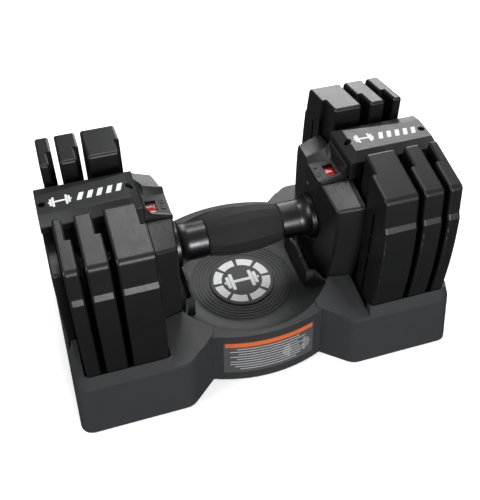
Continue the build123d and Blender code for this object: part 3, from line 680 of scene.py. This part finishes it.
def on_dial(facing, angle):
    """Places print on a dial's rim, read from the handle, at an angle from the top towards the back."""

    def place(u, v, w):
        radius = DIAL_RADIUS + w
        turn = angle + DIGIT_TURN - facing * u / DIAL_RADIUS
        x = facing * (DIAL_MIDDLE - DIGIT_INSET + v)
        return x, radius * math.sin(turn), AXIS_HEIGHT + radius * math.cos(turn)

    return place


class DUMBBELL_OT_unit_marks(bpy.types.Operator):
    """Mould the unit beside each window and the bracket on each sloped shoulder"""

    bl_idname = "dumbbell.unit_marks"
    bl_label = "Unit marks"

    def execute(self, context):
        sizes = context.scene.dumbbell_sizes
        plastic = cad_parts["window_bezel_right"].material_slots[0].material
        marks = (("right", "LB", 1, 63.9, 11.6), ("left", "KG", -1, 64.9, 11.0))
        for side, text, facing, out, width in marks:
            find = surface_of(f"window_bezel_{side}")
            middle = (facing * out * MM, -0.5 * MM)

            def place(u, v, w, facing=facing, find=find, middle=middle):
                x = middle[0] + facing * v
                y = middle[1] - facing * u
                where, _ = find((x, y, 0.2), (0, 0, -1))
                return x, y, where.z + w

            letters = lettering(
                text, sizes.unit_height, -INK_SINK, sizes.relief, place,
                weight=0.025, width=width * MM, spacing=1.35,
            )
            mesh = merged(f"unit_mark_{side}", [letters])
            finished(f"unit_mark_{side}", mesh, plastic, "dumbbell_frame")
            self.brackets(side, facing, plastic, sizes.relief)
        return {"FINISHED"}

    def brackets(self, side, facing, plastic, relief):
        find = surface_of(f"housing_inner_{side}")

        def place(u, v, w):
            where, normal = find((u, v, 0.2), (0, 0, -1))
            return tuple(where + normal * w)

        outlines = []
        half_stroke = 0.3 * MM
        for front in (-1, 1):
            centre = (facing * 73.0 * MM, front * 21.0 * MM)
            outlines.append(rounded_bar(centre, 3.25 * MM, half_stroke, 0.1 * MM))
            for end in (-1, 1):
                leg = (centre[0] + end * 2.95 * MM, centre[1] + front * 3.8 * MM)
                outlines.append(rounded_bar(leg, half_stroke, 3.2 * MM, 0.1 * MM))
        mesh = slab_mesh(f"shoulder_marks_{side}", outlines, -0.08 * MM, 0.6 * relief, place)
        finished(f"shoulder_marks_{side}", mesh, plastic, "dumbbell_frame")


class DUMBBELL_OT_cover_marks(bpy.types.Operator):
    """Print a plain dumbbell sign and five level bars on each cover"""

    bl_idname = "dumbbell.cover_marks"
    bl_label = "Cover marks"

    def execute(self, context):
        sizes = context.scene.dumbbell_sizes
        ink = printed_ink("cover_ink", context.scene.dumbbell_colours.ink)
        height = sizes.cover_mark_height
        outlines = dumbbell_sign((0.78 * height, 0.0), 1.56 * height)
        for index in range(5):
            middle = ((2.15 + 0.66 * index) * height, 0.0)
            outlines.append(rounded_bar(middle, 0.17 * height, 0.36 * height, 0.04 * height, lean=0.35))
        for side, start in (("right", 94.0 * MM), ("left", -149.0 * MM)):
            find = surface_of(f"top_cover_{side}")

            def place(u, v, w, start=start, find=find):
                where, _ = find((start + u, v, 0.25), (0, 0, -1))
                return start + u, v, where.z + w

            mesh = slab_mesh(f"cover_mark_{side}", outlines, -INK_SINK, sizes.print_lift, place)
            finished(f"cover_mark_{side}", mesh, ink, "dumbbell_frame")
        return {"FINISHED"}


class DUMBBELL_OT_badge(bpy.types.Operator):
    """Finish the badge and print a segmented ring round a plain dumbbell sign"""

    bl_idname = "dumbbell.badge"
    bl_label = "Badge"

    def execute(self, context):
        sizes = context.scene.dumbbell_sizes
        colours = context.scene.dumbbell_colours
        plastic = moulded_plastic("badge_plastic", colours.badge, roughness=0.38, grain=0.3 * MM)
        clothe(plastic, "center_badge")
        ink = printed_ink("badge_ink", colours.ink)
        settings = {
            "Segments": sizes.badge_segments,
            "Outer radius": sizes.badge_mark_radius,
            "Ring width": sizes.badge_ring_width,
            "Lift": sizes.print_lift,
        }
        ring = tidy_mesh(grown("badge_ring", segment_tree(ink), settings))
        finished("badge_ring", ring, ink, "tray")
        width = 2 * (sizes.badge_mark_radius - sizes.badge_ring_width) * 0.86

        def place(u, v, w):
            return u, v, BADGE_TOP + w

        sign = slab_mesh("badge_sign", dumbbell_sign((0, 0), width), -INK_SINK, sizes.print_lift, place)
        finished("badge_sign", sign, ink, "tray")
        return {"FINISHED"}


def segment_tree(material):
    """Ring of equal flat segments with gaps between them, on the badge's face."""
    graph, given = geometry_tree(
        "ring_segments",
        [
            ("Segments", "NodeSocketInt", 8),
            ("Outer radius", "NodeSocketFloat", 0.025),
            ("Ring width", "NodeSocketFloat", 0.006),
            ("Gap", "NodeSocketFloat", 0.14),
            ("Lift", "NodeSocketFloat", 0.12 * MM),
        ],
    )
    cube = graph.node(
        "GeometryNodeMeshCube",
        values={"Size": (1.0, 1.0, 1.0), "Vertices X": 17, "Vertices Y": 2, "Vertices Z": 2},
    )
    x, y, z = graph.split(graph.node("GeometryNodeInputPosition"))
    sweep = x * (FULL_TURN / given["Segments"] - given["Gap"])
    radius = given["Outer radius"] - (0.5 - y) * given["Ring width"]
    height = BADGE_TOP + given["Lift"] * (z + 0.5) - (0.5 - z) * (0.1 * MM)
    bent = graph.join(radius * graph.math("SINE", sweep), radius * graph.math("COSINE", sweep), height)
    segment = graph.node("GeometryNodeSetPosition", values={"Geometry": cube, "Position": bent})
    places = graph.node(
        "GeometryNodeMeshLine",
        values={"Count": given["Segments"], "Start Location": (0, 0, 0), "Offset": (0, 0, 0)},
    )
    index = graph.node("GeometryNodeInputIndex")
    turn = graph.join(0.0, 0.0, (index + 0.5) * FULL_TURN / given["Segments"])
    ring = graph.node(
        "GeometryNodeInstanceOnPoints", values={"Points": places, "Instance": segment, "Rotation": turn}
    )
    end_tree(graph, ring, material)
    return graph


class DUMBBELL_OT_label(bpy.types.Operator):
    """Finish the label plate and print its band and plain lines"""

    bl_idname = "dumbbell.label"
    bl_label = "Label"

    def execute(self, context):
        sizes = context.scene.dumbbell_sizes
        colours = context.scene.dumbbell_colours
        clothe(printed_film("label_film", colours.label), "front_label")
        low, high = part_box("front_label")
        width = (high[0] - low[0]) * 0.975
        wall = self.wall(low, high)
        top = high[2] - 0.5 * MM
        band = {
            "Width": width, "Height": sizes.label_band, "Pitch": sizes.label_band, "Lines": 1,
            "Top": top - sizes.label_band / 2, "Ragged": 0.0, "Shift": 0.0,
        }
        pitch = sizes.label_pitch
        lines = {
            "Width": width * 0.9, "Height": pitch * 0.3, "Pitch": pitch, "Lines": sizes.label_lines,
            "Top": top - sizes.label_band - pitch * 0.9, "Ragged": 0.3, "Shift": -0.02 * width,
        }
        for name, base, settings in (
            ("label_band", colours.label_band, band),
            ("label_lines", colours.label_ink, lines),
        ):
            ink = printed_film(name + "_ink", base)
            mesh = tidy_mesh(grown(name, label_tree(name, ink), {**settings, **wall, "Lift": 0.1 * MM}))
            finished(name, mesh, ink, "tray")
        self.sign(low, high, width, colours.label_sign)
        return {"FINISHED"}

    def wall(self, low, high):
        """Radius, centre and lean of the bulging wall, from points on the label's face."""
        find = surface_of("front_label")
        reach = 0.35 * (high[0] - low[0])
        height = (low[2] + high[2]) / 2
        span = 0.4 * (high[2] - low[2])
        front = find((0, -0.3, height), (0, 1, 0))[0].y
        side = find((reach, -0.3, height), (0, 1, 0))[0].y
        radius = (reach**2 + (side - front) ** 2) / (2 * (side - front))
        above = find((0, -0.3, height + span), (0, 1, 0))[0].y
        below = find((0, -0.3, height - span), (0, 1, 0))[0].y
        lean = (above - below) / (2 * span)
        return {"Radius": radius, "Centre": front + radius, "Lean": lean, "Middle": height}

    def sign(self, low, high, width, base):
        find = surface_of("front_label")
        centre = (0.3 * width, (low[2] + high[2]) / 2 - 3.0 * MM)

        def place(u, v, w):
            where, normal = find((centre[0] + u, -0.3, centre[1] + v), (0, 1, 0))
            return tuple(where + normal * w)

        outlines = dumbbell_sign((0, 0), 0.34 * width)
        mesh = slab_mesh("label_sign", outlines, -0.05 * MM, 0.05 * MM, place)
        ink = printed_film("label_sign_ink", base)
        finished("label_sign", mesh, ink, "tray")


def label_tree(name, material):
    """Flat bars one under another, bent round the bulging wall."""
    titles = "Width Height Pitch Top Ragged Shift Lift Radius Centre Lean Middle".split()
    sockets = [(title, "NodeSocketFloat", 0.01) for title in titles]
    sockets += [("Lines", "NodeSocketInt", 1), ("Seed", "NodeSocketInt", 4)]
    graph, given = geometry_tree(name, sockets)
    size = graph.join(1.0, 1.0, given["Height"])
    cube = graph.node(
        "GeometryNodeMeshCube",
        values={"Size": size, "Vertices X": 25, "Vertices Y": 2, "Vertices Z": 2},
    )
    places = graph.node(
        "GeometryNodeMeshLine",
        values={
            "Count": given["Lines"],
            "Start Location": graph.join(0.0, 0.0, given["Top"]),
            "Offset": graph.join(0.0, 0.0, -1 * given["Pitch"]),
        },
    )
    shorter = graph.node(
        "FunctionNodeRandomValue", {"data_type": "FLOAT"}, {"Seed": given["Seed"]}, output=1
    )
    stretch = graph.join(given["Width"] * (1 - shorter * given["Ragged"]), 1.0, 1.0)
    rows = graph.node(
        "GeometryNodeInstanceOnPoints", values={"Points": places, "Instance": cube, "Scale": stretch}
    )
    flat = graph.node("GeometryNodeRealizeInstances", values={0: rows})
    x, y, z = graph.split(graph.node("GeometryNodeInputPosition"))
    out = (0.5 - y) * given["Lift"] - (0.5 + y) * (0.05 * MM)
    radius = given["Radius"] - given["Lean"] * (z - given["Middle"]) + out
    turn = (x + given["Shift"]) / given["Radius"]
    back = given["Centre"] - radius * graph.math("COSINE", turn)
    bent = graph.join(radius * graph.math("SINE", turn), back, z)
    shaped = graph.node("GeometryNodeSetPosition", values={"Geometry": flat, "Position": bent})
    end_tree(graph, shaped, material)
    return graph


class DUMBBELL_OT_stage(bpy.types.Operator):
    """Lay the pale floor, hang the softboxes and set the camera"""

    bl_idname = "dumbbell.stage"
    bl_label = "Studio"

    def execute(self, context):
        studio = context.scene.dumbbell_studio
        self.floor(studio.floor_size / 2)
        self.surroundings(context.scene, studio.sky)
        self.softbox("key", (0.04, 0.42, 1.1), 0.3, studio.key_power)
        self.softbox("right", (0.75, 1.1, 1.0), 0.6, studio.right_power)
        self.softbox("rim", (0.6, 1.55, 0.5), 0.7, studio.rim_power)
        self.softbox("fill", (-1.35, -0.2, 0.75), 0.6, studio.fill_power)
        self.softbox("front", (0.17, -1.47, 0.55), 0.45, studio.front_power)
        self.camera(context.scene)
        context.scene.view_settings.view_transform = "Standard"
        return {"FINISHED"}

    def floor(self, half):
        mesh = bpy.data.meshes.new("floor")
        corners = [(-half, -half, 0), (half, -half, 0), (half, half, 0), (-half, half, 0)]
        mesh.from_pydata(corners, [], [(0, 1, 2, 3)])
        mesh.materials.append(self.floor_paint())
        floor = bpy.data.objects.new("floor", mesh)
        bpy.context.scene.collection.objects.link(floor)

    def floor_paint(self):
        """Pale floor that throws little light back on the sides of the object."""
        paint = bpy.data.materials.new("floor_paint")
        paint.use_nodes = True
        paint.node_tree.nodes.clear()
        graph = Graph(paint.node_tree)
        seen = graph.node("ShaderNodeLightPath", output="Is Camera Ray")
        dull = graph.node("ShaderNodeBsdfDiffuse", values={"Color": (0.05, 0.05, 0.05, 1)})
        lit = graph.node("ShaderNodeBsdfDiffuse", values={"Color": (0.93, 0.93, 0.93, 1)})
        glow = graph.node("ShaderNodeEmission", values={"Color": (1, 1, 1, 1), "Strength": 0.3})
        pale = graph.node("ShaderNodeAddShader", values={0: lit, 1: glow})
        both_looks = graph.node("ShaderNodeMixShader", values={0: seen, 1: dull, 2: pale})
        graph.node("ShaderNodeOutputMaterial", values={"Surface": both_looks})
        return paint

    def surroundings(self, scene, strength):
        """Soft room light from above that fades towards the horizon."""
        world = bpy.data.worlds.new("studio")
        world.use_nodes = True
        world.node_tree.nodes.clear()
        graph = Graph(world.node_tree)
        height = graph.split(graph.node("ShaderNodeTexCoord", output="Generated"))[2]
        above = graph.math("MAXIMUM", height, 0.0)
        white = (1, 1, 1, 1)
        gradient = above * strength + 0.05
        room = graph.node("ShaderNodeBackground", values={"Color": white, "Strength": gradient})
        backdrop = graph.node("ShaderNodeBackground", values={"Color": white, "Strength": 0.95})
        seen = graph.node("ShaderNodeLightPath", output="Is Camera Ray")
        light = graph.node("ShaderNodeMixShader", values={0: seen, 1: room, 2: backdrop})
        graph.node("ShaderNodeOutputWorld", values={"Surface": light})
        scene.world = world

    def softbox(self, name, place, size, power):
        light = bpy.data.lights.new(name, "AREA")
        light.shape = "SQUARE"
        light.size = size
        light.energy = power
        holder = bpy.data.objects.new(name, light)
        target = Vector((0, 0, 0.08))
        holder.location = place
        holder.rotation_euler = (target - Vector(place)).to_track_quat("-Z", "Y").to_euler()
        bpy.context.scene.collection.objects.link(holder)

    def camera(self, scene):
        lens = bpy.data.cameras.new("camera")
        lens.sensor_width = 36.0
        lens.lens = 55.26
        lens.shift_x = -0.0114
        lens.shift_y = -0.0026
        lens.clip_start = 0.01
        holder = bpy.data.objects.new("camera", lens)
        place = Vector((-0.1411, -0.4430, 0.5444))
        target = Vector((0.0028, -0.0020, 0.0758))
        aim = (target - place).to_track_quat("-Z", "Y").to_matrix().to_4x4()
        roll = Matrix.Rotation(math.radians(0.30), 4, "Z")
        holder.matrix_world = Matrix.Translation(place) @ aim @ roll
        scene.collection.objects.link(holder)
        scene.camera = holder


class DUMBBELL_PT_panel(bpy.types.Panel):
    """Lists the pieces in the order they are made"""

    bl_idname = "DUMBBELL_PT_panel"
    bl_label = "Adjustable dumbbell"
    bl_space_type = "VIEW_3D"
    bl_region_type = "UI"
    bl_category = PANEL_TAB

    def draw(self, context):
        for operator in OPERATORS:
            self.layout.operator(operator.bl_idname)
        scene = context.scene
        for group in (scene.dumbbell_sizes, scene.dumbbell_colours, scene.dumbbell_studio):
            box = self.layout.box()
            for name in group.bl_rna.properties.keys():
                if name not in ("rna_type", "name"):
                    box.prop(group, name)


OPERATORS = (
    DUMBBELL_OT_tray,
    DUMBBELL_OT_plates,
    DUMBBELL_OT_heads,
    DUMBBELL_OT_handle,
    DUMBBELL_OT_dial_numbers,
    DUMBBELL_OT_unit_marks,
    DUMBBELL_OT_cover_marks,
    DUMBBELL_OT_badge,
    DUMBBELL_OT_label,
    DUMBBELL_OT_stage,
)
GROUPS = {
    "dumbbell_sizes": DumbbellSizes,
    "dumbbell_colours": DumbbellColours,
    "dumbbell_studio": DumbbellStudio,
}
CLASSES = (*GROUPS.values(), *OPERATORS, DUMBBELL_PT_panel)


def register():
    for kind in CLASSES:
        bpy.utils.register_class(kind)
    for name, group in GROUPS.items():
        setattr(bpy.types.Scene, name, PointerProperty(type=group))


def unregister():
    for name in GROUPS:
        delattr(bpy.types.Scene, name)
    for kind in reversed(CLASSES):
        bpy.utils.unregister_class(kind)


def main():
    register()
    for operator in OPERATORS:
        group, name = operator.bl_idname.split(".")
        getattr(getattr(bpy.ops, group), name)()


if __name__ == "__main__":
    main()
